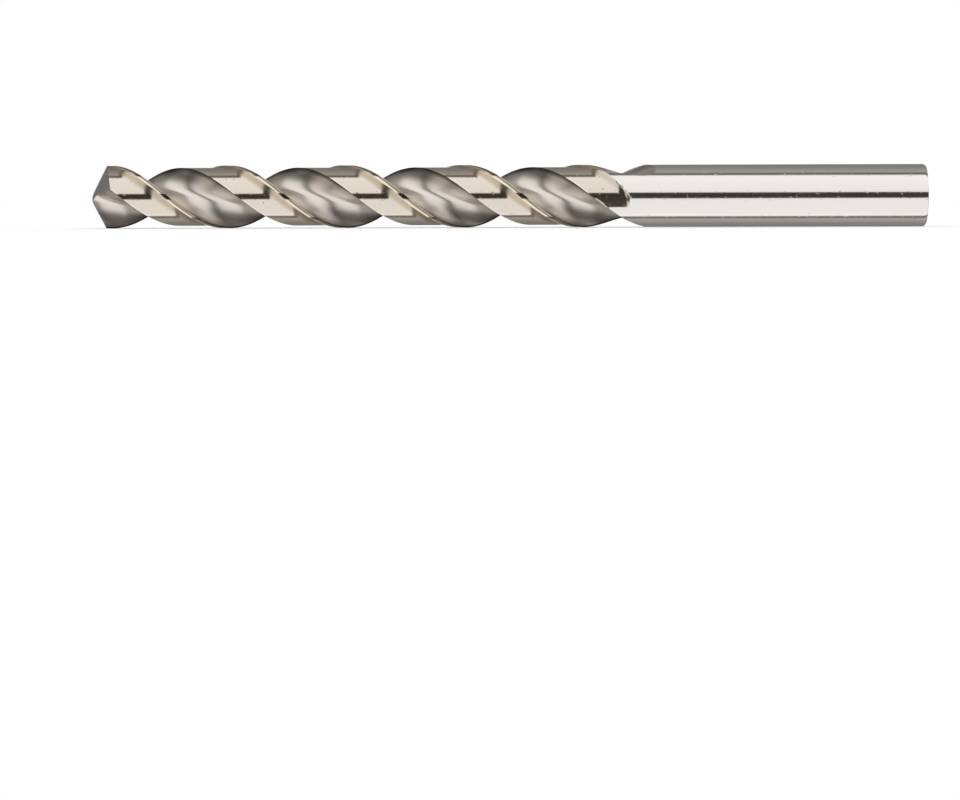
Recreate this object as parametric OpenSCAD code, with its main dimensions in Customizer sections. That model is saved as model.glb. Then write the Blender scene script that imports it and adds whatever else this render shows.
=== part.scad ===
// Twist drill bit, jobber length, ground from one bar of high-speed steel.
// It lies along X with its point towards -X, right-hand helix, two flutes.

/* [Drill] */
// Cutting diameter over the margins, at the point
drill_d = 10; // [6:0.5:16]
// Overall length, from the chisel edge to the shank's end
overall_length = 133; // [125:1:200]
// Length from the chisel edge to where the flutes run out
flute_length = 87; // [60:1:100]
// Helix angle at the drill's diameter
helix_angle = 39.9; // [30:0.1:42]

/* [Point] */
// Included angle of the point
point_angle = 127; // [110:1:140]
// Web between the flutes at the point
web = 2.4; // [1:0.1:2.8]
// How far the cutting corner lies behind a flat plane through the axis
corner_offset = 0.6; // [0.2:0.05:1]
// Slope of the flank right behind the lip
lip_relief = 0.12; // [0.06:0.01:0.2]
// Radius to which the flank curves away behind the lip, at the drill's axis
flank_radius = 5.5; // [4:0.1:9]
// Growth of that radius for each millimetre out along the lip
flank_radius_growth = 1.2; // [0.8:0.1:1.6]

/* [Flutes] */
// Share of the circle that one flute opens, from the cutting corner to the heel
flute_opening = 106; // [85:1:110]
// Tilt of the flute's floor where it passes the chisel edge
floor_tilt = 6.8; // [0:0.1:12]
// Hook of the flute's side under the cutting corner
corner_hook = 46; // [35:1:60]
// Slope at which the flute's far side rises to the heel
heel_slope = 30; // [20:1:45]
// Gain in web thickness for each 100 mm towards the shank
web_growth = 0.8; // [0:0.1:1.6]
// Radius of the arc on which the flute leaves the steel
run_out_radius = 6.5; // [5.5:0.5:20]
// Distance past the flutes' length at which the middle of their floor is out
run_out_past = 2.1; // [0:0.1:3]
// Lead of the run-out on the corner's side, for each millimetre across the flute
run_out_skew = 0.9; // [0:0.05:1.1]

/* [Lands] */
// Width of the margin, across the strand
margin_width = 0.55; // [0.3:0.05:1]
// Depth of the body clearance behind the margin
body_clearance = 0.36; // [0.1:0.02:0.5]
// Width of the hollow that leads from the margin down to the clearance
clearance_hollow = 1.5; // [0.4:0.05:1.8]
// Distance before the flutes' end at which the body clearance stops
clearance_stop = 1.3; // [0:0.1:6]
// Length of the slope at the end of the body clearance
clearance_slope = 0.9; // [0.4:0.1:2]
// Length over which that end is rounded back towards the margin
clearance_bow = 1.9; // [0.4:0.1:3]

/* [Shank] */
// Diameter of the plain shank
shank_d = 9.95; // [5.5:0.05:16]
// Chamfer at the shank's end
shank_chamfer = 0.65; // [0.2:0.05:1.5]

/* [Hidden] */

// Fineness of the fluted stretch
ring_step = 12;
end_step = 0.5;
side_cuts = 8;
margin_cuts = 4;
hollow_cuts = 3;
clearance_cuts = 5;
land_cuts = margin_cuts + hollow_cuts + clearance_cuts;
half_count = 2 * side_cuts + land_cuts;
point_rings = 3;
circle_segments = 96;
halvings = 12;

tip_r = drill_d / 2;
shank_r = shank_d / 2;
half_web = web / 2;
lip_slope = 1 / tan(point_angle / 2);
turn_per_mm = 360 * tan(helix_angle) / (PI * drill_d);
run_out_end = 1.4;
end_length = run_out_past + run_out_end;
fluted_length = flute_length + end_length;
shank_overlap = 0.2;
shank_step = 0.01;

function direction(a) = [cos(a), sin(a)];

// The chisel edge is where both flanks meet, so it leans by their slope there
chisel_lean = (lip_relief + half_web / flank_radius) / lip_slope;
chisel_corner = [half_web * chisel_lean, -half_web];

// Cutting corner and heel of one flute, in the flat section through the chisel edge
corner_depth = sqrt(tip_r * tip_r - corner_offset * corner_offset) * lip_slope;
corner_angle = -asin(corner_offset / tip_r) - turn_per_mm * corner_depth;
opening_angle = corner_angle - flute_opening / 2;
outward = direction(opening_angle);
clear_r = tip_r - body_clearance;
corner = tip_r * direction(corner_angle);
heel = clear_r * direction(corner_angle - flute_opening);

// Pull of the flute's curve at its floor and its ends, as shares of each side's chord
rake_chord = norm(corner - chisel_corner);
heel_chord = norm(heel - chisel_corner);
rake_floor_pull = 0.7 * rake_chord;
rake_corner_pull = 0.16 * rake_chord;
heel_floor_pull = 0.24 * heel_chord;
heel_pull = 0.78 * heel_chord;
floor_way = direction(-floor_tilt);

function curve(a, b, c, d, t) =
    let (u = 1 - t)
    u * u * u * a + 3 * u * u * t * b + 3 * u * t * t * c + t * t * t * d;

// Side of the flute that runs out from its floor to the cutting corner
function rake_side(s) =
    curve(
        chisel_corner,
        chisel_corner + rake_floor_pull * floor_way,
        corner - rake_corner_pull * direction(-corner_hook),
        corner,
        s
    );

// Side of the same flute that runs from its floor up to the heel
function heel_side(s) =
    curve(
        chisel_corner,
        chisel_corner - heel_floor_pull * floor_way,
        heel + heel_pull * direction(heel_slope),
        heel,
        s
    );

// The whole flute as one line, from the heel at -1 over its floor to the corner at 1
function flute_point(w) = w < 0 ? heel_side(-w) : rake_side(w);

// Its run-out, whose front lies square to the flute and so aslant in the flat section
run_out_depth = tip_r - half_web;
run_out_start =
    flute_length + run_out_past
    - sqrt(run_out_depth * (2 * run_out_radius - run_out_depth));
function run_out_rise(p, z) =
    let (aside = outward[0] * p[1] - outward[1] * p[0],
         past = max(0, z + run_out_skew * aside - run_out_start))
    run_out_radius - sqrt(max(0, run_out_radius * run_out_radius - past * past));

// A point of the flute at a depth z, moved out by the web's growth and the run-out
growth_per_mm = web_growth / 100 / 2;
function lifted(w, z) =
    let (p = flute_point(w))
    p + (growth_per_mm * z + run_out_rise(p, z)) * outward;

// Radius of the margin, which tapers back to just under the shank's own radius
function margin_radius(z) =
    tip_r + (shank_r - shank_step - tip_r) * min(1, z / fluted_length);

// Place on the flute's line that lies nearest to the axis, where both sides start
middle_tries = 20;
middle_shift = 2;
function flute_middle(z) =
    z <= run_out_start
    ? 0
    : let (places = [for (i = [-middle_tries : middle_tries]) i / middle_tries],
           reach = [for (w = places) norm(lifted(w, z))],
           nearest = places[search(min(reach), reach)[0]])
      nearest * min(1, (z - run_out_start) / middle_shift);

// Last place on a side of the flute, from its middle to its end, inside a circle
least_share = 0.05;
function last_inside(middle, end, z, r, low = 0, high = 1, steps = halvings) =
    steps == 0
    ? middle + (end - middle) * max(least_share, low)
    : let (half = (low + high) / 2)
      norm(lifted(middle + (end - middle) * half, z)) > r
      ? last_inside(middle, end, z, r, low, half, steps - 1)
      : last_inside(middle, end, z, r, half, high, steps - 1);
function side_line(middle, last, z, r) =
    [for (i = [0 : side_cuts])
        held_inside(lifted(middle + (last - middle) * i / side_cuts, z), r)];

function held_inside(p, r) = norm(p) > r ? p * r / norm(p) : p;
function angle_of(p) = atan2(p[1], p[0]);
function turned(p, a) = [p[0] * cos(a) - p[1] * sin(a), p[0] * sin(a) + p[1] * cos(a)];

// Margin and hollow, as angles behind the cutting corner
across = cos(helix_angle) * tip_r * PI / 180;
margin_span = margin_width / across;
hollow_span = clearance_hollow / across;

// The clearance ends on a flat, where the wheel that grinds it stops turning round
stop_z = flute_length - clearance_stop;
flat_start = 20.5;
widest_bend = 60;
function flat_depth(z, plain) =
    let (r = margin_radius(z),
         bend = plain - flat_start + turn_per_mm * (z - stop_z))
    r - (r - body_clearance) / cos(min(widest_bend, max(0, bend)));

// Its end is rounded back towards the margin
bow_middle = 30;
bow_width = 18;
bow_power = 6;
function end_depth(plain) =
    let (aside = min(1, max(0, bow_middle - plain) / bow_width))
    stop_z - clearance_bow * pow(aside, bow_power);

// Depth of the clearance at an angle behind the corner that the flute has before
// its run-out
function clearance_depth(z, plain) =
    let (down = min(1, max(0, (plain - margin_span) / hollow_span)),
         left = min(1, max(0, (end_depth(plain) - z) / clearance_slope)),
         hollow = body_clearance * (1 - pow(1 - down, 2)))
    max(0, min(hollow, flat_depth(z, plain))) * (1 - pow(1 - left, 2));

// The same angles, from the edge of the land to the next heel, at its facets
function land_angle(i, start, finish) =
    i <= margin_cuts
    ? start + (margin_span - start) * i / margin_cuts
    : i <= margin_cuts + hollow_cuts
    ? margin_span + hollow_span * (i - margin_cuts) / hollow_cuts
    : let (level = margin_span + hollow_span)
      level + (finish - level) * (i - margin_cuts - hollow_cuts) / clearance_cuts;

// Half of the outline at a depth z, before the helix turns it:
// out along the rake side, round the land, and in along the next flute's heel side
land_span = 180 - flute_opening;
function half_outline(z) =
    let (r = margin_radius(z),
         heel_r = r - clearance_depth(z, land_span),
         middle = flute_middle(z),
         rake_points = side_line(middle, last_inside(middle, 1, z, r), z, r),
         heel_points =
             -side_line(middle, last_inside(middle, -1, z, heel_r), z, heel_r),
         start = angle_of(rake_points[side_cuts]) - corner_angle,
         end = angle_of(heel_points[side_cuts]) - corner_angle,
         finish = end > start ? end : end + 360)
    concat(
        rake_points,
        [for (i = [1 : land_cuts - 1])
            let (plain = land_angle(i, start, finish))
            (r - clearance_depth(z, plain)) * direction(corner_angle + plain)],
        [for (i = [side_cuts : -1 : 1]) heel_points[i]]
    );

function outline(z) = let (half = half_outline(z)) concat(half, [for (p = half) -p]);

// Height of the ground point above the chisel edge's middle
function flank(p) =
    let (behind = half_web + p[1])
    p[0] * lip_slope + behind * lip_relief
    + behind * behind / (2 * (flank_radius + flank_radius_growth * max(0, p[0])));
function point_height(p) = max(flank(p), flank(-p)) - flank([0, 0]);

// Depth at which a point of the section, turned by the helix, meets the flank
function start_depth(p, z = 0, steps = halvings) =
    steps == 0
    ? z
    : start_depth(p, (z + point_height(turned(p, turn_per_mm * z))) / 2, steps - 1);

// Depths of the flat rings, finer where the flutes run out
point_allowance = 2.2;
first_flat = tip_r * lip_slope + point_allowance;
fine_start = run_out_start - run_out_skew * tip_r;
coarse_count = ceil((fine_start - first_flat) * turn_per_mm / ring_step);
fine_count = ceil((fluted_length - fine_start) / end_step);
flat_depths = concat(
    [for (i = [0 : coarse_count - 1])
        first_flat + (fine_start - first_flat) * i / coarse_count],
    [for (i = [0 : fine_count])
        fine_start + (fluted_length - fine_start) * i / fine_count]
);

function placed(p, z) = let (q = turned(p, turn_per_mm * z)) [q[0], q[1], z];

point_outline = outline(0);
ring_count = point_rings + len(flat_depths);
count = 2 * half_count;
point_starts = [for (p = point_outline) start_depth(p)];
side_points = concat(
    [for (j = [0 : point_rings - 1]) for (i = [0 : count - 1])
        let (z = point_starts[i] + (first_flat - point_starts[i]) * j / point_rings)
        placed(point_outline[i], z)],
    [for (z = flat_depths) for (p = outline(z)) placed(p, z)]
);

// The flanks: rows from the chisel edge out to the land, between lip and heel
function flank_place(half, row, column) =
    let (lip = half * half_count + row,
         back = (lip + 2 * (side_cuts - row) + land_cuts) % count,
         t = column / land_cuts,
         a = side_points[lip],
         b = side_points[back],
         p = [a[0] + (b[0] - a[0]) * t, a[1] + (b[1] - a[1]) * t])
    [p[0], p[1], point_height(p)];
inner_columns = land_cuts - 1;
side_total = len(side_points);
flank_points = concat(
    [for (column = [1 : inner_columns]) flank_place(0, 0, column)],
    [for (half = [0, 1]) for (row = [1 : side_cuts - 1]) for (column = [1 : inner_columns])
        flank_place(half, row, column)]
);

function flank_index(half, row, column) =
    row == side_cuts ? half * half_count + side_cuts + column
    : column == 0 ? half * half_count + row
    : column == land_cuts
    ? (half * half_count + 2 * side_cuts + land_cuts - row) % count
    : row == 0
    ? side_total + (half == 0 ? column : land_cuts - column) - 1
    : side_total + inner_columns
      + (half * (side_cuts - 1) + row - 1) * inner_columns + column - 1;

side_faces = [
    for (j = [0 : ring_count - 2]) for (i = [0 : count - 1])
        let (a = j * count + i,
             b = j * count + (i + 1) % count,
             c = a + count,
             d = b + count)
        each [[a, c, b], [b, c, d]]
];
flank_faces = [
    for (half = [0, 1]) for (row = [0 : side_cuts - 1]) for (column = [0 : land_cuts - 1])
        let (a = flank_index(half, row, column),
             b = flank_index(half, row, column + 1),
             c = flank_index(half, row + 1, column),
             d = flank_index(half, row + 1, column + 1))
        each [[a, c, b], [b, c, d]]
];
end_face = [[for (i = [count - 1 : -1 : 0]) (ring_count - 1) * count + i]];

module fluted_stretch() {
    polyhedron(
        points = concat(side_points, flank_points),
        faces = concat(side_faces, flank_faces, end_face)
    );
}

module shank() {
    length = overall_length - fluted_length + shank_overlap;
    translate([0, 0, fluted_length - shank_overlap]) {
        cylinder(r = shank_r, h = length - shank_chamfer, $fn = circle_segments);
        translate([0, 0, length - shank_chamfer])
            cylinder(
                r1 = shank_r,
                r2 = shank_r - shank_chamfer,
                h = shank_chamfer,
                $fn = circle_segments
            );
    }
}

module twist_drill() {
    color("#b9b2aa")
        translate([-overall_length / 2, 0, tip_r])
            rotate([0, 90, 0]) {
                fluted_stretch();
                shank();
            }
}

twist_drill();
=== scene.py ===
import math

import bmesh
import bpy
import numpy as np
from bpy.props import FloatProperty, FloatVectorProperty, PointerProperty
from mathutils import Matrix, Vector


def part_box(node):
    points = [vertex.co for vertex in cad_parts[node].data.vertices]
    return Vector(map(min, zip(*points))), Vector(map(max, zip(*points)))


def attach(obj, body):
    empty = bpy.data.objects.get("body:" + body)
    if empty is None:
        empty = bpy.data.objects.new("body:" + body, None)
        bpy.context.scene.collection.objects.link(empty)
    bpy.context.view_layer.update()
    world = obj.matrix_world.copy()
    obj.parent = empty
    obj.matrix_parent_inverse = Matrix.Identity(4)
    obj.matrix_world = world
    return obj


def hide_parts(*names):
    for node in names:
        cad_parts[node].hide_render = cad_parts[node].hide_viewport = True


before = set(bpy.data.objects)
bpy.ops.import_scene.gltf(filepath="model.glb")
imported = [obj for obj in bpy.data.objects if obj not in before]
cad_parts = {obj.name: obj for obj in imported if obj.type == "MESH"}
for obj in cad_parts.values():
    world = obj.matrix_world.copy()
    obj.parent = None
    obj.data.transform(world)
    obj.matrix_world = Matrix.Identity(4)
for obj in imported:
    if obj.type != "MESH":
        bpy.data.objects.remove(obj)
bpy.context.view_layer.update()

bl_info = {
    "name": "Twist drill bit",
    "version": (1, 0, 0),
    "blender": (4, 2, 0),
    "location": "3D View > Sidebar > Twist drill",
    "description": "A jobber twist drill of ground high-speed steel, and its studio",
    "category": "Add Mesh",
}

MM = 0.001
MICRON = 0.000001
LOW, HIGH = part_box("twist_drill")
AXIS_HEIGHT = 0.005

# Kinds of face, in the order of the drill's materials
GROUND, SATIN, FLANK, END = range(4)

# Channels of the finish attribute: how strong each tint is at a point, painted light
# included. The edge's channel is painted shade in a flute, straw on a margin and a
# painted highlight on a land at its heel. The last is painted shade in brown on a
# margin beside a flute.
HOLLOW, LAND, EDGE, PAINTED_LIP_SHADE = range(4)

# Sockets of a Mix node for colours: its factor, its two colours and its result
FACTOR, UNDER, OVER, MIXED = 0, 6, 7, 2

# Edges that turn less than this are smooth. The shank's rounding has this many cuts,
# and its shading leans so far outwards at its rim.
SMOOTH_BELOW = math.radians(28)
END_SEGMENTS = 5
END_LEAN = 0.25

# The photograph's frame and the drill's middle in it, in pixels
PICTURE_WIDE, PICTURE_HIGH = 960, 800
DRILL_ACROSS, DRILL_DOWN = 509.3, 195.9

# The camera: pixels to the metre at the drill, distance in metres, roll in degrees
PX_PER_M = 6265.0
CAMERA_AWAY = 0.6
CAMERA_ROLL = -0.142
SENSOR_MM = 36

# The studio, in metres
FLOOR_WIDE = 8
TENT_RADIUS, TENT_REACH = 3, 9

# Brightness of the tent by the angle round the drill: 0 is the front, 90 is up
TENT_ROUND = (
    (-180, (0.9, 0.89, 0.88)),
    (-171, (0.85, 0.84, 0.83)),
    (-165, (0.2, 0.196, 0.19)),
    (-125, (0.27, 0.263, 0.255)),
    (-97, (0.43, 0.42, 0.405)),
    (-90, (0.2, 0.185, 0.17)),
    (-84, (0.2, 0.185, 0.17)),
    (-79, (1.1, 1.1, 1.1)),
    (-68, (0.98, 0.98, 0.98)),
    (-11.5, (0.97, 0.97, 0.97)),
    (-8, (0.05, 0.043, 0.04)),
    (10.5, (0.05, 0.043, 0.04)),
    (14, (0.97, 0.97, 0.97)),
    (78, (1.05, 1.05, 1.05)),
    (84.5, (0.16, 0.145, 0.13)),
    (90, (0.16, 0.145, 0.13)),
    (96, (0.4, 0.39, 0.375)),
    (125, (0.27, 0.263, 0.255)),
    (165, (0.2, 0.196, 0.19)),
    (171, (0.85, 0.84, 0.83)),
    (180, (0.9, 0.89, 0.88)),
)

# Dark cloths that hang over the tent's two ends: each by its share of the light at
# a distance along the drill, in metres, and by how far it reaches round the tent
NONE, FULL, DARK = (0.0, 0.0, 0.0), (1.0, 1.0, 1.0), (0.1, 0.09, 0.08)
TENT_ENDS = (
    (
        ((-9, DARK), (-3.5, DARK), (-2.5, FULL), (9, FULL)),
        ((-180, NONE), (-40, NONE), (-20, FULL), (105, FULL), (135, NONE), (180, NONE)),
    ),
    (
        ((-9, FULL), (1.45, FULL), (1.9, DARK), (9, (0.05, 0.045, 0.04))),
        ((-180, NONE), (-135, NONE), (-110, FULL), (15, FULL), (40, NONE), (180, NONE)),
    ),
)


def linear(colour):
    """Turns a hex colour, as a designer writes it, to the values light adds up in."""
    parts = [int(colour[i : i + 2], 16) / 255 for i in (1, 3, 5)]
    return tuple(
        p / 12.92 if p <= 0.04045 else ((p + 0.055) / 1.055) ** 2.4 for p in parts
    )


def size(name, what, value):
    """A length in millimetres as one of the add-on's properties."""
    return FloatProperty(
        name=name,
        description=what,
        default=value * MM,
        min=0,
        precision=5,
        unit="LENGTH",
    )


def turn(name, what, value):
    """An angle in degrees as one of the add-on's properties."""
    return FloatProperty(
        name=name, description=what, default=math.radians(value), subtype="ANGLE"
    )


def paint(name, what, value):
    """A colour as one of the add-on's properties."""
    return FloatVectorProperty(
        name=name,
        description=what,
        default=linear(value),
        subtype="COLOR",
        min=0,
        max=1,
        size=3,
    )


class DrillSizes(bpy.types.PropertyGroup):
    """Sizes of the drill, as it is ground from the bar."""

    length: FloatProperty(
        name="Overall length",
        description="From the chisel edge to the shank's end",
        default=HIGH.x - LOW.x,
        unit="LENGTH",
        precision=5,
    )
    cutting: size("Cutting diameter", "Diameter over the margins at the point", 10)
    flutes: size("Flute length", "From the chisel edge to the flutes' end", 87)
    run_out_past: size("Run-out past", "From that end to where their floor is out", 2.1)
    run_out_end: size("Run-out end", "From there to where the bar is whole", 1.4)
    run_out: size("Run-out radius", "Arc on which the flutes leave the steel", 6.5)
    run_out_skew: FloatProperty(
        name="Run-out skew",
        description="Lead of the run-out on the corner's side, for each length across",
        default=0.9,
    )
    web: size("Web", "Steel left between the flutes at the point", 2.4)
    web_gain: size("Web gain", "Gain in web thickness over the flutes' length", 0.7)
    corner_offset: size(
        "Corner offset", "How far the cutting corner lies behind the axis", 0.6
    )
    flank_radius: size("Flank radius", "Radius of the flank at the axis", 5.5)
    margin: size("Margin width", "Width of the margin, across the strand", 0.55)
    clearance: size("Body clearance", "Depth of the land behind the margin", 0.36)
    hollow: size("Hollow width", "Width of the hollow beside the margin", 1.5)
    stop: size("Clearance stop", "From the flutes' end back to the clearance's", 1.3)
    slope: size("Clearance slope", "Length of the slope at its end", 0.9)
    bow: size("Clearance bow", "Rounding of its end towards the margin", 1.9)
    shank: size("Shank diameter", "Diameter of the plain shank", 9.95)
    rounding: size("Shank rounding", "Rounding of the shank's end", 0.65)
    helix: turn("Helix angle", "Angle of the helix at the cutting diameter", 39.9)
    point: turn("Point angle", "Included angle of the point", 127)
    opening: turn("Flute opening", "Share of the circle that one flute opens", 106)


class DrillColours(bpy.types.PropertyGroup):
    """Colours of the steel, of the light and shade painted on it, and of the studio."""

    shank: paint("Ground shank", "Bright ground steel, as on the shank", "#ECE8E4")
    land: paint("Cleared lands", "Steel behind the margins, tanned by oil", "#E1D7CB")
    # The margins' straw, which also gives a painted highlight along each land at its
    # heel
    margin: paint("Margins", "Margins, which the heat has turned to straw", "#F0E7D6")
    hollow: paint("Hollows", "Hollow beside a margin, where oil dried", "#C4B59C")
    # Painted shade in brown on the margins beside the flutes
    lip: paint("Lips of the margins", "Brown of the heat, beside a flute", "#8C7A62")
    flute: paint("Satin flutes", "Flutes, as the wheel left them", "#E9E1D9")
    # Painted shade in the flutes, darker towards their edges, with a dark line at each
    # edge
    edge: paint("Edge line", "Dark scale along the edges of a flute", "#33271F")
    end: paint("Shank end", "Rounded end of the shank, tumbled smooth", "#E4E0DC")
    flank: paint("Point flanks", "Freshly ground flanks of the point", "#A19D9A")
    speck: paint("Specks", "Specks of rust and dirt on the lands", "#7A6E62")
    floor: paint("Floor", "Matt white studio floor", "#FFFFFF")


def turned(points, angle):
    """Points of a flat section, turned about the drill's axis."""
    c, s = np.cos(angle), np.sin(angle)
    x, y = points[:, 0], points[:, 1]
    return np.stack([x * c - y * s, x * s + y * c], 1)


def way(angle):
    """Direction at an angle in the flat section."""
    return np.array([math.cos(angle), math.sin(angle)])


def bow_curve(a, b, c, d, t):
    """Cubic curve from a to d, pulled towards b and c."""
    t = np.asarray(t)[:, None]
    u = 1 - t
    return u**3 * a + 3 * u * u * t * b + 3 * u * t * t * c + t**3 * d


def share(value):
    """A number held between 0 and 1."""
    return min(1, max(0, value))


def eased(values):
    """Numbers held between 0 and 1, with a soft start and end."""
    held = np.clip(values, 0, 1)
    return held**2 * (3 - 2 * held)


class Grinding:
    """The drill's section and point, worked out in millimetres from the tip."""

    # Cuts of the outline along each side of a flute, and along the parts of a land
    side_cuts = 22
    margin_cuts = 8
    hollow_cuts = 12
    rest_cuts = 20
    land_cuts = margin_cuts + hollow_cuts + rest_cuts
    # Where the heel stands in half of the outline, and how many points that has
    heel_at = side_cuts + land_cuts
    half_count = side_cuts + heel_at

    # Rings of the point, how far they go on behind its corners, and the steps between
    # the rings of the flutes and of their run-out
    point_rings = 10
    point_past = 2.6
    ring_step = 0.3
    end_step = 0.12

    # The flute's curves: how hard each end pulls, as a share of the chord, and where to
    floor_way = way(math.radians(-6.8))
    rake_floor_pull, rake_hook_pull = 0.7, 0.16
    hook_way = way(math.radians(-46))
    heel_floor_pull, heel_pull = 0.24, 0.78
    heel_way = way(math.radians(30))

    # The flanks: slope behind the lip, and gain of their radius away from the axis
    relief = 0.12
    flank_gain = 1.2

    # The margins end this much under the shank, which starts over a step this long
    under_shank = 0.01
    shank_step = 0.02

    # The cleared flat: how far behind the corner it starts at its end, and the most
    # that it may bend away, in radians
    flat_start = math.radians(20.5)
    flat_most = 1.05
    # The bow of its end: the angle it starts at and its width, in degrees
    bow_start, bow_width = 30, 18

    # In the run-out the flute's middle is looked for in so many places and shifts over
    # so many millimetres, and a side keeps this share of its length
    middle_tries = 41
    middle_shift = 2
    least_side = 0.05
    # Rounds that find where a side leaves the bar, and where the point meets the lands
    halvings = 24
    point_rounds = 60

    # A face is in the flute where it lies deeper than this under the margin
    edge_depth = 0.004

    # Straw on the margin: its fade at the corner, in radians, and how far the land
    # has to be cleared for it
    straw_fade = 0.06
    straw_clear = 0.4
    # The margins' straw, the painted shade on their lips and the hollows' oil fade over
    # 5 mm before the clearance's bowed end
    fresh_fade = 5
    # Painted shade on each side of the flute, darker towards its edge: its run over the
    # side's cuts, shown only between 0 and 1, and its strength. Near the tip it reaches
    # further and is stronger, up to 10 mm from it, and that fades over 4 mm.
    rake_run, rake_scale = (-1.3, 1.5), 0.45
    heel_run, heel_scale = (1.2, -2), 0.4
    tip_reach, tip_scale = 0.9, 0.15
    tip_end, tip_fade = 10, 4
    # Painted dark lines in the flute along the rake's edge and the heel's; at the heel
    # a painted highlight on the land beside it, where the land's tan is cut back; and
    # the painted shade in brown on the margin's lip, all from point to point
    rake_shade_line = (0.65, 1, 1)
    heel_shade_and_highlight = np.array((1, 0.75))
    tan_left_at_highlight = (0.4, 0)
    lip_shade_profile = (0.1, 0.8, 1, 1, 0.8, 0.4, 0.1, 0, 0)

    def __init__(self, sizes):
        self.tip_r = sizes.cutting / MM / 2
        self.shank_r = sizes.shank / MM / 2
        self.length = sizes.length / MM
        self.rounding = sizes.rounding / MM
        flutes = sizes.flutes / MM
        floor_out = flutes + sizes.run_out_past / MM
        self.fluted = floor_out + sizes.run_out_end / MM
        self.half_web = sizes.web / MM / 2
        self.web_gain = sizes.web_gain / 2 / sizes.flutes
        self.clearance = sizes.clearance / MM
        self.slope_length = sizes.slope / MM
        self.bow = sizes.bow / MM
        self.stop = flutes - sizes.stop / MM
        self.flank_radius = sizes.flank_radius / MM
        self.opening = sizes.opening
        self.lip_slope = 1 / math.tan(sizes.point / 2)
        self.turn = math.tan(sizes.helix) / self.tip_r
        self.along = math.cos(sizes.helix)
        across = self.along * self.tip_r
        self.margin_span = sizes.margin / MM / across
        self.hollow_span = sizes.hollow / MM / across

        offset = sizes.corner_offset / MM
        depth = math.sqrt(self.tip_r**2 - offset**2) * self.lip_slope
        self.corner_angle = -math.asin(offset / self.tip_r) - self.turn * depth
        heel_angle = self.corner_angle - self.opening
        self.outward = way(self.corner_angle - self.opening / 2)
        lean = (self.relief + self.half_web / self.flank_radius) / self.lip_slope
        self.chisel = np.array([self.half_web * lean, -self.half_web])
        self.corner = self.tip_r * way(self.corner_angle)
        self.heel = (self.tip_r - self.clearance) * way(heel_angle)
        self.rake_chord = np.linalg.norm(self.corner - self.chisel)
        self.heel_chord = np.linalg.norm(self.heel - self.chisel)

        self.run_out = sizes.run_out / MM
        self.skew = sizes.run_out_skew
        rise = self.tip_r - self.half_web
        arc = math.sqrt(rise * (2 * self.run_out - rise))
        self.run_out_start = floor_out - arc

    def rake_side(self, t):
        """Side of the flute from its floor out to the cutting corner."""
        floor = self.chisel + self.rake_floor_pull * self.rake_chord * self.floor_way
        hook = self.corner - self.rake_hook_pull * self.rake_chord * self.hook_way
        return bow_curve(self.chisel, floor, hook, self.corner, t)

    def heel_side(self, t):
        """Side of the flute from its floor up to the heel."""
        floor = self.chisel - self.heel_floor_pull * self.heel_chord * self.floor_way
        rise = self.heel + self.heel_pull * self.heel_chord * self.heel_way
        return bow_curve(self.chisel, floor, rise, self.heel, t)

    def lifted(self, places, z):
        """Points of the flute at a depth, from its heel at -1 to its corner at 1."""
        places = np.asarray(places, float)
        corner_side = self.rake_side(np.maximum(0, places))
        far_side = self.heel_side(np.maximum(0, -places))
        points = np.where((places >= 0)[:, None], corner_side, far_side)
        aside = self.outward[0] * points[:, 1] - self.outward[1] * points[:, 0]
        past = np.maximum(0, z + self.skew * aside - self.run_out_start)
        rise = self.run_out - np.sqrt(np.maximum(0, self.run_out**2 - past**2))
        return points + (self.web_gain * z + rise)[:, None] * self.outward

    def margin_r(self, z):
        """Radius of the margin, which tapers back to the shank."""
        gain = self.shank_r - self.under_shank - self.tip_r
        return self.tip_r + gain * np.minimum(1, z / self.fluted)

    def middle(self, z):
        """Place in the flute nearest to the axis, which shifts in the run-out."""
        if z <= self.run_out_start:
            return 0.0
        places = np.linspace(-1, 1, self.middle_tries)
        near = np.argmin(np.linalg.norm(self.lifted(places, z), axis=1))
        return places[near] * min(1, (z - self.run_out_start) / self.middle_shift)

    def side(self, middle, end, z, r):
        """One side of the flute, as far as it lies inside a circle."""
        low, high = 0.0, 1.0
        for _ in range(self.halvings):
            half = (low + high) / 2
            if np.linalg.norm(self.lifted([middle + (end - middle) * half], z)) > r:
                high = half
            else:
                low = half
        reach = (end - middle) * max(self.least_side, low)
        places = middle + reach * np.linspace(0, 1, self.side_cuts + 1)
        points = self.lifted(places, z)
        far = np.linalg.norm(points, axis=1)
        return points * np.minimum(1, r / np.maximum(far, 1e-9))[:, None]

    def cleared(self, z, plain):
        """Depth of the clearance at an angle behind the corner, up to its flat."""
        down = share((plain - self.margin_span) / self.hollow_span)
        hollow = self.clearance * (1 - (1 - down) ** 2)
        r = self.margin_r(z)
        bend = plain - self.flat_start + self.turn * (z - self.stop)
        flat = r - (r - self.clearance) / math.cos(min(self.flat_most, max(0, bend)))
        aside = share((self.bow_start - math.degrees(plain)) / self.bow_width)
        left = share((self.stop - self.bow * aside**6 - z) / self.slope_length)
        return max(0, min(hollow, flat)) * (1 - (1 - left) ** 2)

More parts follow.
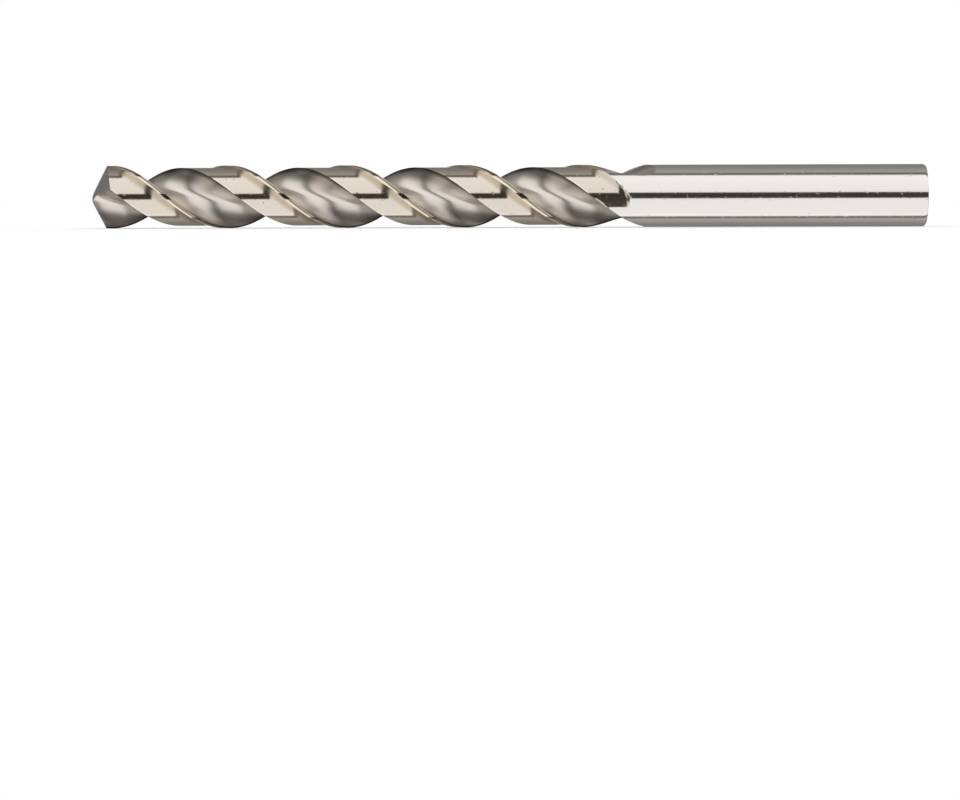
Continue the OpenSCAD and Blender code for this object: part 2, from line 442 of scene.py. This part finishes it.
    def outline(self, z):
        """The section before the helix turns it, how cleared it is, and its straw."""
        r = self.margin_r(z)
        heel_r = r - self.cleared(z, math.pi - self.opening)
        middle = self.middle(z)
        rake = self.side(middle, 1, z, r)
        heel = -self.side(middle, -1, z, heel_r)
        start = math.atan2(rake[-1][1], rake[-1][0]) - self.corner_angle
        finish = math.atan2(heel[-1][1], heel[-1][0]) - self.corner_angle
        if finish < start:
            finish += 2 * math.pi
        level = self.margin_span + self.hollow_span
        angles = np.concatenate(
            [
                np.linspace(start, self.margin_span, self.margin_cuts + 1)[1:],
                np.linspace(self.margin_span, level, self.hollow_cuts + 1)[1:],
                np.linspace(level, finish, self.rest_cuts + 1)[1:],
            ]
        )
        depths = np.array([self.cleared(z, a) for a in angles])
        land = [(r - d) * way(self.corner_angle + a) for a, d in zip(angles, depths)]
        half = np.concatenate([rake, np.array(land[:-1]), heel[1:][::-1]])
        shares = depths / self.clearance
        margin = np.concatenate([[start], angles[: self.margin_cuts]])
        cleared = min(1, shares[self.margin_cuts + 2] / self.straw_clear)
        straw = np.clip(1 + margin / self.straw_fade, 0, 1) * cleared
        return np.concatenate([half, -half]), shares, straw

    def tints(self, z, shares, straw):
        """How strong each tint, painted shade and painted highlight is at each point of
        the section.
        """
        land = slice(self.side_cuts + 1, self.heel_at + 1)
        margin = slice(self.side_cuts, self.side_cuts + self.margin_cuts + 1)
        fresh = share((self.stop - self.bow - z) / self.fresh_fade)
        near_tip = share((self.tip_end - z) / self.tip_fade)
        tints = np.zeros((self.half_count, 4))
        tints[land, LAND] = shares
        # The hollow's tint is full where the clearance is between its two levels
        tints[land, HOLLOW] = (1 - (2 * shares - 1) ** 4) * (1 + fresh) / 2
        # Painted shade, darker towards the flute's edge on its corner side, with a dark
        # line at that edge
        hook = eased(np.linspace(*self.rake_run, self.side_cuts))
        tints[: self.side_cuts, EDGE] = self.rake_scale * hook
        tints[self.side_cuts - 3 : self.side_cuts, EDGE] = self.rake_shade_line
        # Painted shade on the heel's side, darker towards the heel and stronger near
        # the tip
        run = np.linspace(*self.heel_run, self.side_cuts)
        back = eased(run + self.tip_reach * near_tip)
        strength = self.heel_scale + self.tip_scale * near_tip
        tints[self.heel_at :, EDGE] = strength * back
        # A painted dark line in the flute along the heel, and a painted highlight on
        # the land beside it, where the margins' straw stands in for the land's tan
        tints[self.heel_at : self.heel_at + 2, EDGE] = self.heel_shade_and_highlight * shares[-1]
        tints[self.heel_at - 1 : self.heel_at + 1, LAND] *= self.tan_left_at_highlight
        # Painted shade in brown on the margin's lip, and the margin's straw
        tints[margin, PAINTED_LIP_SHADE] = self.lip_shade_profile * straw * fresh
        tints[margin, EDGE] = straw * fresh
        return np.concatenate([tints, tints])

    def strand(self, z):
        """Distance across the flute and along it for each point of the section."""
        rise = np.linspace(0, self.rake_chord, self.side_cuts + 1)
        land = self.rake_chord + np.arange(1, self.land_cuts) / self.land_cuts
        across = np.concatenate([rise, land, -rise[1:][::-1]])
        along = np.full(len(across), z / self.along)
        places = np.column_stack([across, along, 0 * across])
        return np.concatenate([places, places])

    def flank(self, points):
        """Height of one flank over the flat section."""
        behind = self.half_web + points[:, 1]
        radius = self.flank_radius + self.flank_gain * np.maximum(0, points[:, 0])
        fall = behind * self.relief
        return points[:, 0] * self.lip_slope + fall + behind**2 / (2 * radius)

    def height(self, points):
        """Height of the ground point, both flanks together."""
        both = np.maximum(self.flank(points), self.flank(-points))
        return both - self.flank(np.zeros((1, 2)))[0]

    def rings(self):
        """The sections from the point to the run-out's end, with tints and strand."""
        base, shares, straw = self.outline(0.0)
        starts = np.zeros(len(base))
        for _ in range(self.point_rounds):
            starts = (starts + self.height(turned(base, self.turn * starts))) / 2
        first = self.tip_r * self.lip_slope + self.point_past
        rings, tints, strand = [], [], []
        for j in range(self.point_rings):
            z = starts + (first - starts) * j / self.point_rings
            rings.append(np.column_stack([turned(base, self.turn * z), z]))
            tints.append(self.tints(0.0, shares, straw))
            strand.append(self.strand(0.0) + np.outer(z / self.along, (0, 1, 0)))
        fine = self.run_out_start - self.skew * self.tip_r
        steps = round((fine - first) / self.ring_step)
        end_steps = round((self.fluted - fine) / self.end_step)
        depths = np.concatenate(
            [
                np.linspace(first, fine, steps),
                np.linspace(fine, self.fluted, end_steps)[1:],
            ]
        )
        for z in depths:
            section, shares, straw = self.outline(z)
            ring = turned(section, self.turn * z)
            rings.append(np.column_stack([ring, np.full(len(ring), z)]))
            tints.append(self.tints(z, shares, straw))
            strand.append(self.strand(z))
        return rings, tints, strand

    def flank_rows(self, tip):
        """Points and faces of the two flanks, from the chisel edge out to the lands."""
        count = 2 * self.half_count
        made, index = [], {}

        def corner(half, row, column):
            """Number of a flank's point: on the first ring, or a new one inside."""
            start = half * self.half_count
            if row == self.side_cuts:
                return start + self.side_cuts + column
            if column == 0:
                return start + row
            if column == self.land_cuts:
                return (start + self.side_cuts + self.heel_at - row) % count
            if row == 0 and half == 1:
                return corner(0, 0, self.land_cuts - column)
            key = (half, row, column)
            if key not in index:
                lip = start + row
                back = (lip + 2 * (self.side_cuts - row) + self.land_cuts) % count
                t = column / self.land_cuts
                flat = tip[lip, :2] + (tip[back, :2] - tip[lip, :2]) * t
                index[key] = ("new", len(made))
                made.append([flat[0], flat[1], self.height(flat[None, :])[0]])
            return index[key]

        faces = [
            [
                corner(half, row, column),
                corner(half, row + 1, column),
                corner(half, row + 1, column + 1),
                corner(half, row, column + 1),
            ]
            for half in (0, 1)
            for row in range(self.side_cuts)
            for column in range(self.land_cuts)
        ]
        return np.array(made), faces


def loft(ground):
    """The drill's mesh, with the shank still square at its end, and kinds of face."""
    rings, tints, strand = ground.rings()
    count = 2 * ground.half_count
    whole = len(rings) - 1
    around = rings[-1][:, :2] / np.linalg.norm(rings[-1][:, :2], axis=1)[:, None]
    for z in (ground.fluted + ground.shank_step, ground.length):
        rings.append(np.column_stack([around * ground.shank_r, np.full(count, z)]))
        tints.append(tints[-1])
        strand.append(ground.strand(z))
    faces, kinds = [], []
    for j in range(len(rings) - 1):
        near, far = rings[j][:, :2], rings[j + 1][:, :2]
        edge_r = ground.margin_r(rings[j][0, 2]) - ground.edge_depth
        a, b = j * count, (j + 1) * count
        for i in range(count):
            k = (i + 1) % count
            faces.append((a + i, b + i, b + k, a + k))
            at = i % ground.half_count
            side = at < ground.side_cuts or at >= ground.heel_at
            deep = min(math.hypot(*p) for p in (near[i], near[k], far[i]))
            kinds.append(SATIN if side and deep < edge_r and j < whole else GROUND)
    extra, flank_faces = ground.flank_rows(rings[0])
    base = len(rings) * count
    for face in flank_faces:
        named = [base + p[1] if isinstance(p, tuple) else p for p in face]
        if len(set(named)) > 2:
            faces.append(tuple(dict.fromkeys(reversed(named))))
            kinds.append(FLANK)
    faces.append(tuple(base - count + i for i in range(count)))
    kinds.append(END)

    points = np.concatenate(rings + [extra])
    lying = np.column_stack(
        [points[:, 2] - ground.length / 2, points[:, 1], ground.tip_r - points[:, 0]]
    )
    mesh = bpy.data.meshes.new("twist_drill_bit")
    mesh.from_pydata((lying * MM).tolist(), [], faces)
    finish = mesh.attributes.new("finish", "FLOAT_COLOR", "POINT")
    plain = np.zeros((len(extra), 4))
    finish.data.foreach_set("color", np.concatenate(tints + [plain]).ravel())
    lines = mesh.attributes.new("strand", "FLOAT_VECTOR", "POINT")
    lines.data.foreach_set("vector", np.concatenate(strand + [extra]).ravel() * MM)
    return mesh, kinds


def round_end(context, drill):
    """Turns all faces outwards and bevels the rim of the shank's end."""
    sizes = context.scene.drill_sizes
    mesh = drill.data
    bpy.ops.object.select_all(action="DESELECT")
    drill.select_set(True)
    context.view_layer.objects.active = drill
    bpy.ops.object.mode_set(mode="EDIT")
    bpy.ops.mesh.select_all(action="SELECT")
    bpy.ops.mesh.normals_make_consistent(inside=False)
    bpy.ops.mesh.select_mode(type="EDGE")
    bpy.ops.mesh.select_all(action="DESELECT")
    shape = bmesh.from_edit_mesh(mesh)
    end = sizes.length / MM / 2 * MM
    for edge in shape.edges:
        if all(abs(v.co.x - end) < 1e-7 for v in edge.verts):
            edge.select_set(True)
    bmesh.update_edit_mesh(mesh)
    bpy.ops.mesh.bevel(
        offset=sizes.rounding, segments=END_SEGMENTS, affect="EDGES", material=GROUND
    )
    bpy.ops.object.mode_set(mode="OBJECT")
    bpy.ops.object.shade_smooth_by_angle(angle=SMOOTH_BELOW)


def true_round(mesh, ground):
    """Gives the faces on the round of the bar the normals of a true cylinder."""
    spots = np.empty(len(mesh.vertices) * 3, np.float32)
    mesh.vertices.foreach_get("co", spots)
    spots = spots.reshape(-1, 3)
    normals = np.empty(len(mesh.loops) * 3, np.float32)
    mesh.corner_normals.foreach_get("vector", normals)
    normals = normals.reshape(-1, 3)
    corners = np.empty(len(mesh.loops), np.int32)
    mesh.loops.foreach_get("vertex_index", corners)
    starts = np.array([face.loop_start for face in mesh.polygons])
    sizes = np.diff(np.append(starts, len(mesh.loops)))

    across = spots[corners] - (0, 0, ground.tip_r * MM)
    across[:, 0] = 0
    far = np.linalg.norm(across, axis=1)
    depth = spots[corners, 0] / MM + ground.length / 2
    shank = depth > ground.fluted + ground.shank_step / 2
    r = np.where(shank, ground.shank_r, ground.margin_r(depth)) * MM
    on_round = np.minimum.reduceat(np.abs(far - r) < MICRON, starts)
    into = (depth - ground.length + ground.rounding) / ground.rounding
    past = depth > ground.length - ground.rounding - MICRON / MM
    use = np.repeat(on_round, sizes) & ~past
    normals[use] = across[use] / far[use, None]

    # The rounded end is small, and its polish carries the shank's bands to its rim
    bright = np.array([face.material_index == GROUND for face in mesh.polygons])
    rim = np.repeat(bright, sizes) & past
    lean = np.outer(END_LEAN * into[rim] ** 2, (1, 0, 0))
    normals[rim] = across[rim] / far[rim, None] + lean
    normals[rim] /= np.linalg.norm(normals[rim], axis=1)[:, None]
    mesh.normals_split_custom_set(normals.tolist())


class DRILL_OT_bar(bpy.types.Operator):
    """Grinds the twist drill from its bar: point, flutes, lands, run-out and shank"""

    bl_idname = "drill.bar"
    bl_label = "Twist drill"

    def execute(self, context):
        """Lofts the ground sections to the shank's end, then bevels that."""
        ground = Grinding(context.scene.drill_sizes)
        mesh, kinds = loft(ground)
        drill = bpy.data.objects.new("twist_drill_bit", mesh)
        context.scene.collection.objects.link(drill)
        for material in (ground_steel, flute_steel, flank_steel, end_steel):
            mesh.materials.append(material(context))
        mesh.polygons.foreach_set("material_index", kinds)
        round_end(context, drill)
        true_round(mesh, ground)
        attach(drill, "root")
        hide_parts("twist_drill")
        return {"FINISHED"}


def add_node(tree, kind, settings=None, links=None, stops=()):
    """Adds one node, sets its values and any stops, and links its sockets."""
    node = tree.nodes.new(kind)
    for name, value in (settings or {}).items():
        if isinstance(name, int) or name in node.inputs:
            node.inputs[name].default_value = value
        else:
            setattr(node, name, value)
    for name, source in (links or {}).items():
        tree.links.new(source, node.inputs[name])
    for i, (place, colour) in enumerate(stops):
        marks = node.color_ramp.elements
        mark = marks[i] if i < 2 else marks.new(place)
        mark.position = place
        mark.color = (*colour, 1)
    return node


def new_material(name):
    """An empty material with its output."""
    material = bpy.data.materials.new(name)
    material.use_nodes = True
    material.node_tree.nodes.clear()
    output = add_node(material.node_tree, "ShaderNodeOutputMaterial")
    return material, material.node_tree, output


def steel(
    name, colour, roughness, place, stretch, depth, tints=(), dull=0.0, speck=None
):
    """Bare steel with fine marks, tinted with colours and painted light and dulled
    where the finish attribute asks.

    The marks follow Object coordinates or the attribute that place names, stretch
    gives their number to the metre on each axis, and depth is theirs in metres.
    """
    material, tree, output = new_material(name)
    if place == "Object":
        spot = add_node(tree, "ShaderNodeTexCoord").outputs["Object"]
    else:
        lines = add_node(tree, "ShaderNodeAttribute", {"attribute_name": place})
        spot = lines.outputs["Vector"]
    drawn = add_node(tree, "ShaderNodeMapping", {"Scale": stretch}, {"Vector": spot})
    marks = add_node(
        tree,
        "ShaderNodeTexNoise",
        {"Scale": 1.0, "Detail": 4.0, "Roughness": 0.6},
        {"Vector": drawn.outputs["Vector"]},
    )
    bump = add_node(
        tree,
        "ShaderNodeBump",
        {"Strength": 1.0, "Distance": depth},
        {"Height": marks.outputs["Fac"]},
    )
    finish = add_node(tree, "ShaderNodeAttribute", {"attribute_name": "finish"})
    parts = add_node(
        tree, "ShaderNodeSeparateColor", links={"Color": finish.outputs["Color"]}
    )
    # Blue is straw on margins, painted shade in flutes and a painted highlight at the
    # heels; alpha is painted shade on the margins' lips
    shares = {
        HOLLOW: parts.outputs["Red"],
        LAND: parts.outputs["Green"],
        EDGE: parts.outputs["Blue"],
        PAINTED_LIP_SHADE: finish.outputs["Alpha"],
    }
    if speck:
        # One grain, about 0.4 mm across: its peaks are small nicks in the steel, and
        # the highest ones specks of dirt, where the land is cleared
        grains = add_node(
            tree,
            "ShaderNodeTexNoise",
            {"Scale": 2600.0, "Detail": 1.0},
            {"Vector": spot},
        )
        nicks = add_node(
            tree,
            "ShaderNodeMapRange",
            {"From Min": 0.66, "From Max": 0.78},
            {"Value": grains.outputs["Fac"]},
        )
        bump = add_node(
            tree,
            "ShaderNodeBump",
            {"Strength": 1.0, "Distance": 9 * MICRON},
            {"Height": nicks.outputs["Result"], "Normal": bump.outputs["Normal"]},
        )
        peaks = add_node(
            tree,
            "ShaderNodeMapRange",
            {"From Min": 0.72, "From Max": 0.8, "To Max": 0.8},
            {"Value": grains.outputs["Fac"]},
        )
        dirt = add_node(
            tree,
            "ShaderNodeMath",
            {"operation": "MULTIPLY"},
            {0: peaks.outputs["Result"], 1: shares[LAND]},
        )
        shares["dirt"] = dirt.outputs[0]
        tints = (*tints, ("dirt", speck))
    skin = add_node(
        tree,
        "ShaderNodeBsdfPrincipled",
        {"Base Color": (*colour, 1), "Metallic": 1.0, "Roughness": roughness},
        {"Normal": bump.outputs["Normal"]},
    )
    under = {}
    for part, tint in tints:
        mix = add_node(
            tree,
            "ShaderNodeMix",
            {"data_type": "RGBA", UNDER: (*colour, 1), OVER: (*tint, 1)},
            {FACTOR: shares[part], **under},
        )
        under = {UNDER: mix.outputs[MIXED]}
    if under:
        tree.links.new(under[UNDER], skin.inputs["Base Color"])
    if dull:
        rough = add_node(
            tree,
            "ShaderNodeMath",
            {"operation": "MULTIPLY_ADD", 1: dull, 2: roughness},
            {0: shares[HOLLOW]},
        )
        tree.links.new(rough.outputs[0], skin.inputs["Roughness"])
    tree.links.new(skin.outputs["BSDF"], output.inputs["Surface"])
    return material


def ground_steel(context):
    # Hardened high-speed steel, ground between centres: a bright mirror-like skin
    # with fine marks round the bar, 0.17 mm apart as drawn, coarser than real, and
    # 1.4 mm long. It is tanned behind the margins, and duller and yellower in the
    # hollow beside each.
    # Its margins are straw, with painted shade in brown on their lips, and a painted
    # highlight runs along each land at its heel.
    paints = context.scene.drill_colours
    return steel(
        "ground_high_speed_steel",
        paints.shank,
        roughness=0.09,
        place="Object",
        stretch=(6000, 700, 700),
        depth=0.6 * MICRON,
        tints=(
            (EDGE, paints.margin),
            (LAND, paints.land),
            (HOLLOW, paints.hollow),
            (PAINTED_LIP_SHADE, paints.lip),
        ),
        dull=0.12,
        speck=paints.speck,
    )


def flute_steel(context):
    # The same steel in the flutes, left satin by a coarser wheel and the hardening,
    # with lines along the flute, 0.25 mm apart and 2.5 mm long as drawn, and painted
    # shade that darkens each side towards its edge, with a dark line at the edge
    paints = context.scene.drill_colours
    return steel(
        "satin_flute_steel",
        paints.flute,
        roughness=0.33,
        place="strand",
        stretch=(4000, 400, 1000),
        depth=3 * MICRON,
        tints=((EDGE, paints.edge),),
    )


def flank_steel(context):
    # The same steel on the point, freshly ground, with a dull even grain of 0.33 mm,
    # drawn coarser than real
    return steel(
        "point_ground_steel",
        context.scene.drill_colours.flank,
        roughness=0.6,
        place="Object",
        stretch=(3000, 3000, 3000),
        depth=MICRON,
    )


def end_steel(context):
    # The shank's end face, tumbled to an even satin with a grain of 0.33 mm
    return steel(
        "tumbled_end_steel",
        context.scene.drill_colours.end,
        roughness=0.55,
        place="Object",
        stretch=(3000, 3000, 3000),
        depth=MICRON,
    )


def spread(stops, most):
    """Stops that lie between minus and plus the same most, as shares of that span."""
    return [((at + most) / (2 * most), colour) for at, colour in stops]


def tent(context):
    """A long tent round the drill, lit in panels, which shows in the steel only."""
    # Thin white cloth, lit from outside: its panels, the gaps between them and the
    # dark cloths over its ends are the bright, dark and grey bands in the steel
    bpy.ops.object.select_all(action="DESELECT")
    bpy.ops.mesh.primitive_cylinder_add(
        vertices=96,
        radius=TENT_RADIUS,
        depth=2 * TENT_REACH,
        end_fill_type="NOTHING",
        location=(0, 0, AXIS_HEIGHT),
        rotation=(0, math.radians(90), 0),
    )
    cloth = context.object
    cloth.name = "light_tent"
    bpy.ops.object.transform_apply(location=True, rotation=True, scale=True)
    material, tree, output = new_material("lit_tent_cloth")
    place = add_node(tree, "ShaderNodeTexCoord")
    axes = add_node(
        tree, "ShaderNodeSeparateXYZ", links={"Vector": place.outputs["Object"]}
    )
    front = add_node(
        tree,
        "ShaderNodeMath",
        {"operation": "MULTIPLY", 1: -1.0},
        {0: axes.outputs["Y"]},
    )
    angle = add_node(
        tree,
        "ShaderNodeMath",
        {"operation": "ARCTAN2"},
        {0: axes.outputs["Z"], 1: front.outputs[0]},
    )
    around = add_node(
        tree,
        "ShaderNodeMapRange",
        {"From Min": -math.pi, "From Max": math.pi},
        {"Value": angle.outputs[0]},
    )
    along = add_node(
        tree,
        "ShaderNodeMapRange",
        {"From Min": -TENT_REACH, "From Max": TENT_REACH},
        {"Value": axes.outputs["X"]},
    )
    panels = add_node(
        tree,
        "ShaderNodeValToRGB",
        links={"Fac": around.outputs["Result"]},
        stops=spread(TENT_ROUND, 180),
    )
    glow = panels.outputs["Color"]
    for shade, hung in TENT_ENDS:
        dark = add_node(
            tree,
            "ShaderNodeValToRGB",
            links={"Fac": along.outputs["Result"]},
            stops=spread(shade, TENT_REACH),
        )
        reach = add_node(
            tree,
            "ShaderNodeValToRGB",
            links={"Fac": around.outputs["Result"]},
            stops=spread(hung, 180),
        )
        both = add_node(
            tree,
            "ShaderNodeMix",
            {"data_type": "RGBA", "blend_type": "MULTIPLY"},
            {FACTOR: reach.outputs["Color"], UNDER: glow, OVER: dark.outputs["Color"]},
        )
        glow = both.outputs[MIXED]
    light = add_node(tree, "ShaderNodeEmission", links={"Color": glow})
    tree.links.new(light.outputs["Emission"], output.inputs["Surface"])
    material.cycles.emission_sampling = "NONE"
    cloth.data.materials.append(material)
    cloth.visible_camera = False
    cloth.visible_diffuse = False
    cloth.visible_transmission = False
    cloth.visible_shadow = False


class DRILL_OT_studio(bpy.types.Operator):
    """Sets the drill on a white floor, in a light tent, before the camera"""

    bl_idname = "drill.studio"
    bl_label = "Studio"

    def execute(self, context):
        """Makes the floor, the world, the tent and the camera."""
        scene = context.scene
        bpy.ops.object.select_all(action="DESELECT")
        bpy.ops.mesh.primitive_plane_add(size=FLOOR_WIDE, location=(0, 0, 0))
        floor = context.object
        floor.name = "floor"
        # Matt white board, which takes a soft shadow and doesn't show in the steel
        material, tree, output = new_material("matt_white_floor")
        skin = add_node(
            tree,
            "ShaderNodeBsdfDiffuse",
            {"Color": (*scene.drill_colours.floor, 1)},
        )
        tree.links.new(skin.outputs["BSDF"], output.inputs["Surface"])
        floor.data.materials.append(material)
        floor.visible_glossy = False

        world = bpy.data.worlds.new("white_tent")
        scene.world = world
        world.use_nodes = True
        back = world.node_tree.nodes["Background"]
        back.inputs["Color"].default_value = (1, 1, 1, 1)
        back.inputs["Strength"].default_value = 1.0

        tent(context)

        camera = bpy.data.cameras.new("camera")
        eye = bpy.data.objects.new("camera", camera)
        scene.collection.objects.link(eye)
        scene.camera = eye
        # The camera looks past the drill, so that it stands where the photograph has it
        away = PX_PER_M * CAMERA_AWAY
        up = math.atan2(PICTURE_HIGH / 2 - DRILL_DOWN, away)
        side = math.atan2(DRILL_ACROSS - PICTURE_WIDE / 2, away)
        focal = away * math.cos(up) * math.cos(side)
        eye.location = (0, -CAMERA_AWAY, AXIS_HEIGHT)
        eye.rotation_euler = (math.radians(90) - up, 0, side)
        eye.rotation_euler.rotate_axis("Z", math.radians(CAMERA_ROLL))
        camera.sensor_width = SENSOR_MM
        camera.lens = SENSOR_MM * focal / PICTURE_WIDE
        camera.clip_start = 0.01
        scene.view_settings.view_transform = "Standard"
        return {"FINISHED"}


class DRILL_PT_panel(bpy.types.Panel):
    """Lists the drill's sizes, colours and steps"""

    bl_idname = "DRILL_PT_panel"
    bl_label = "Twist drill"
    bl_space_type = "VIEW_3D"
    bl_region_type = "UI"
    bl_category = "Twist drill"

    def draw(self, context):
        """Draws the sizes, the colours and one button for each step."""
        for group in (context.scene.drill_sizes, context.scene.drill_colours):
            for name in group.__annotations__:
                self.layout.prop(group, name)
        for step in STEPS:
            self.layout.operator(step.bl_idname)


STEPS = (DRILL_OT_bar, DRILL_OT_studio)
CLASSES = (DrillSizes, DrillColours, *STEPS, DRILL_PT_panel)


def register():
    """Adds the classes and the scene's properties."""
    for item in CLASSES:
        bpy.utils.register_class(item)
    bpy.types.Scene.drill_sizes = PointerProperty(type=DrillSizes)
    bpy.types.Scene.drill_colours = PointerProperty(type=DrillColours)


def unregister():
    """Takes them away again."""
    del bpy.types.Scene.drill_colours
    del bpy.types.Scene.drill_sizes
    for item in reversed(CLASSES):
        bpy.utils.unregister_class(item)


def main():
    register()
    bpy.ops.drill.bar()
    bpy.ops.drill.studio()


if __name__ == "__main__":
    main()
